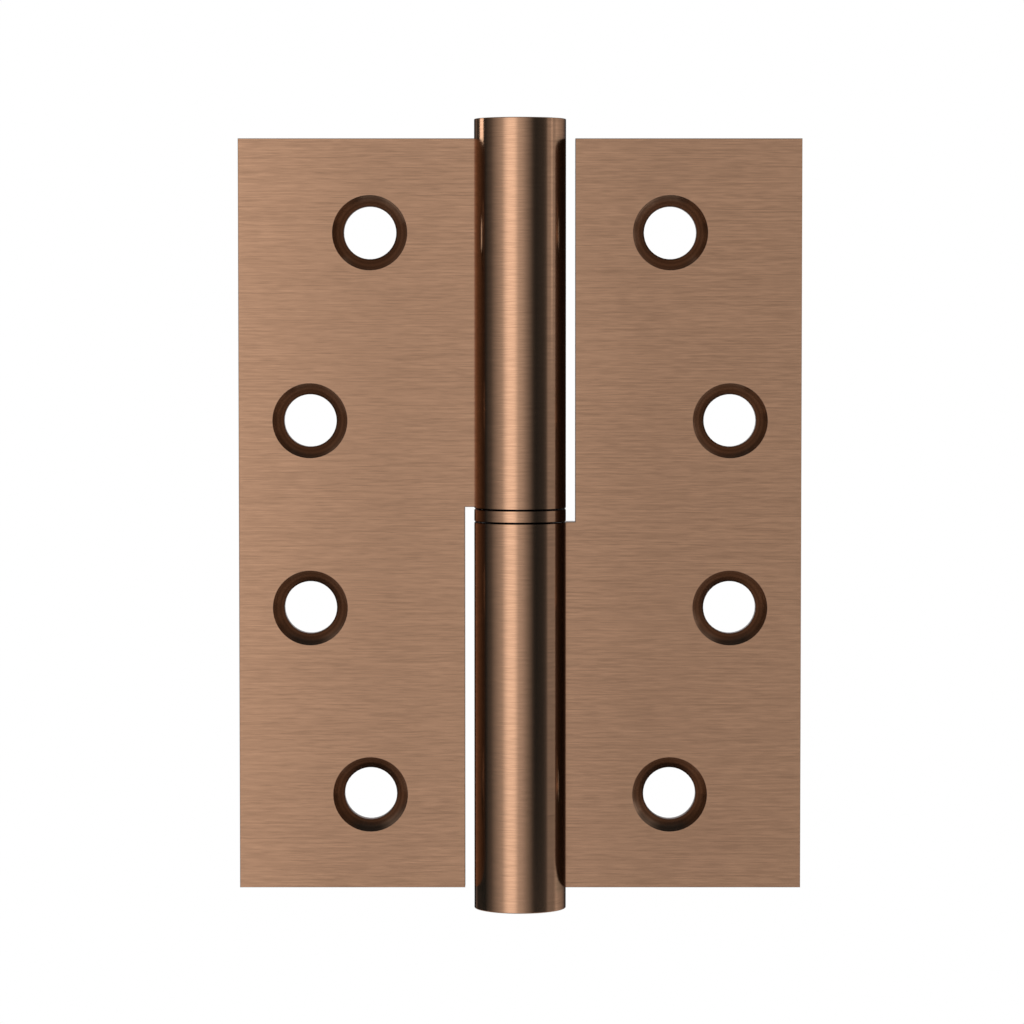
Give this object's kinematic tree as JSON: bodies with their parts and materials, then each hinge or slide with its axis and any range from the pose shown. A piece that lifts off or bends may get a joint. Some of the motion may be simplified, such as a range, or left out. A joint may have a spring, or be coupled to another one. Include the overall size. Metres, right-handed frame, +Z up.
{
  "type": "lift-off hinge",
  "caption": "Lift-off butt hinge for a door, lying open flat: two leaves with staggered countersunk screw holes, plain barrels, a fixed pin and a thrust washer.",
  "frame": {"origin": "on the pin's axis, half way up the hinge, which is also the centre of its box", "axes": "+Z up along the pin's axis, in the direction that the door leaf lifts off; +Y out of the leaves' backs, into the timber; +X towards the frame leaf's free edge"},
  "size_m": [0.075, 0.0122, 0.105],
  "materials": {
    "leaf_metal": "brushed light bronze",
    "washer_metal": "turned light bronze",
    "pin_steel": "ground bright"
  },
  "bodies": {
    "frame_side": {"frame_leaf": "leaf_metal", "hinge_pin": "pin_steel"},
    "washer": {"thrust_washer": "washer_metal"},
    "door_side": {"door_leaf": "leaf_metal"}
  },
  "joints": [
    {"name": "leaf_swing", "type": "hinge", "parent": "frame_side", "child": "washer", "pos_m": [0, 0, 0], "axis": [0, 0, 1], "range_deg": [-118, 180]},
    {"name": "lift_off", "type": "slide", "parent": "washer", "child": "door_side", "axis": [0, 0, 1], "range_m": [0, 0.045]}
  ]
}
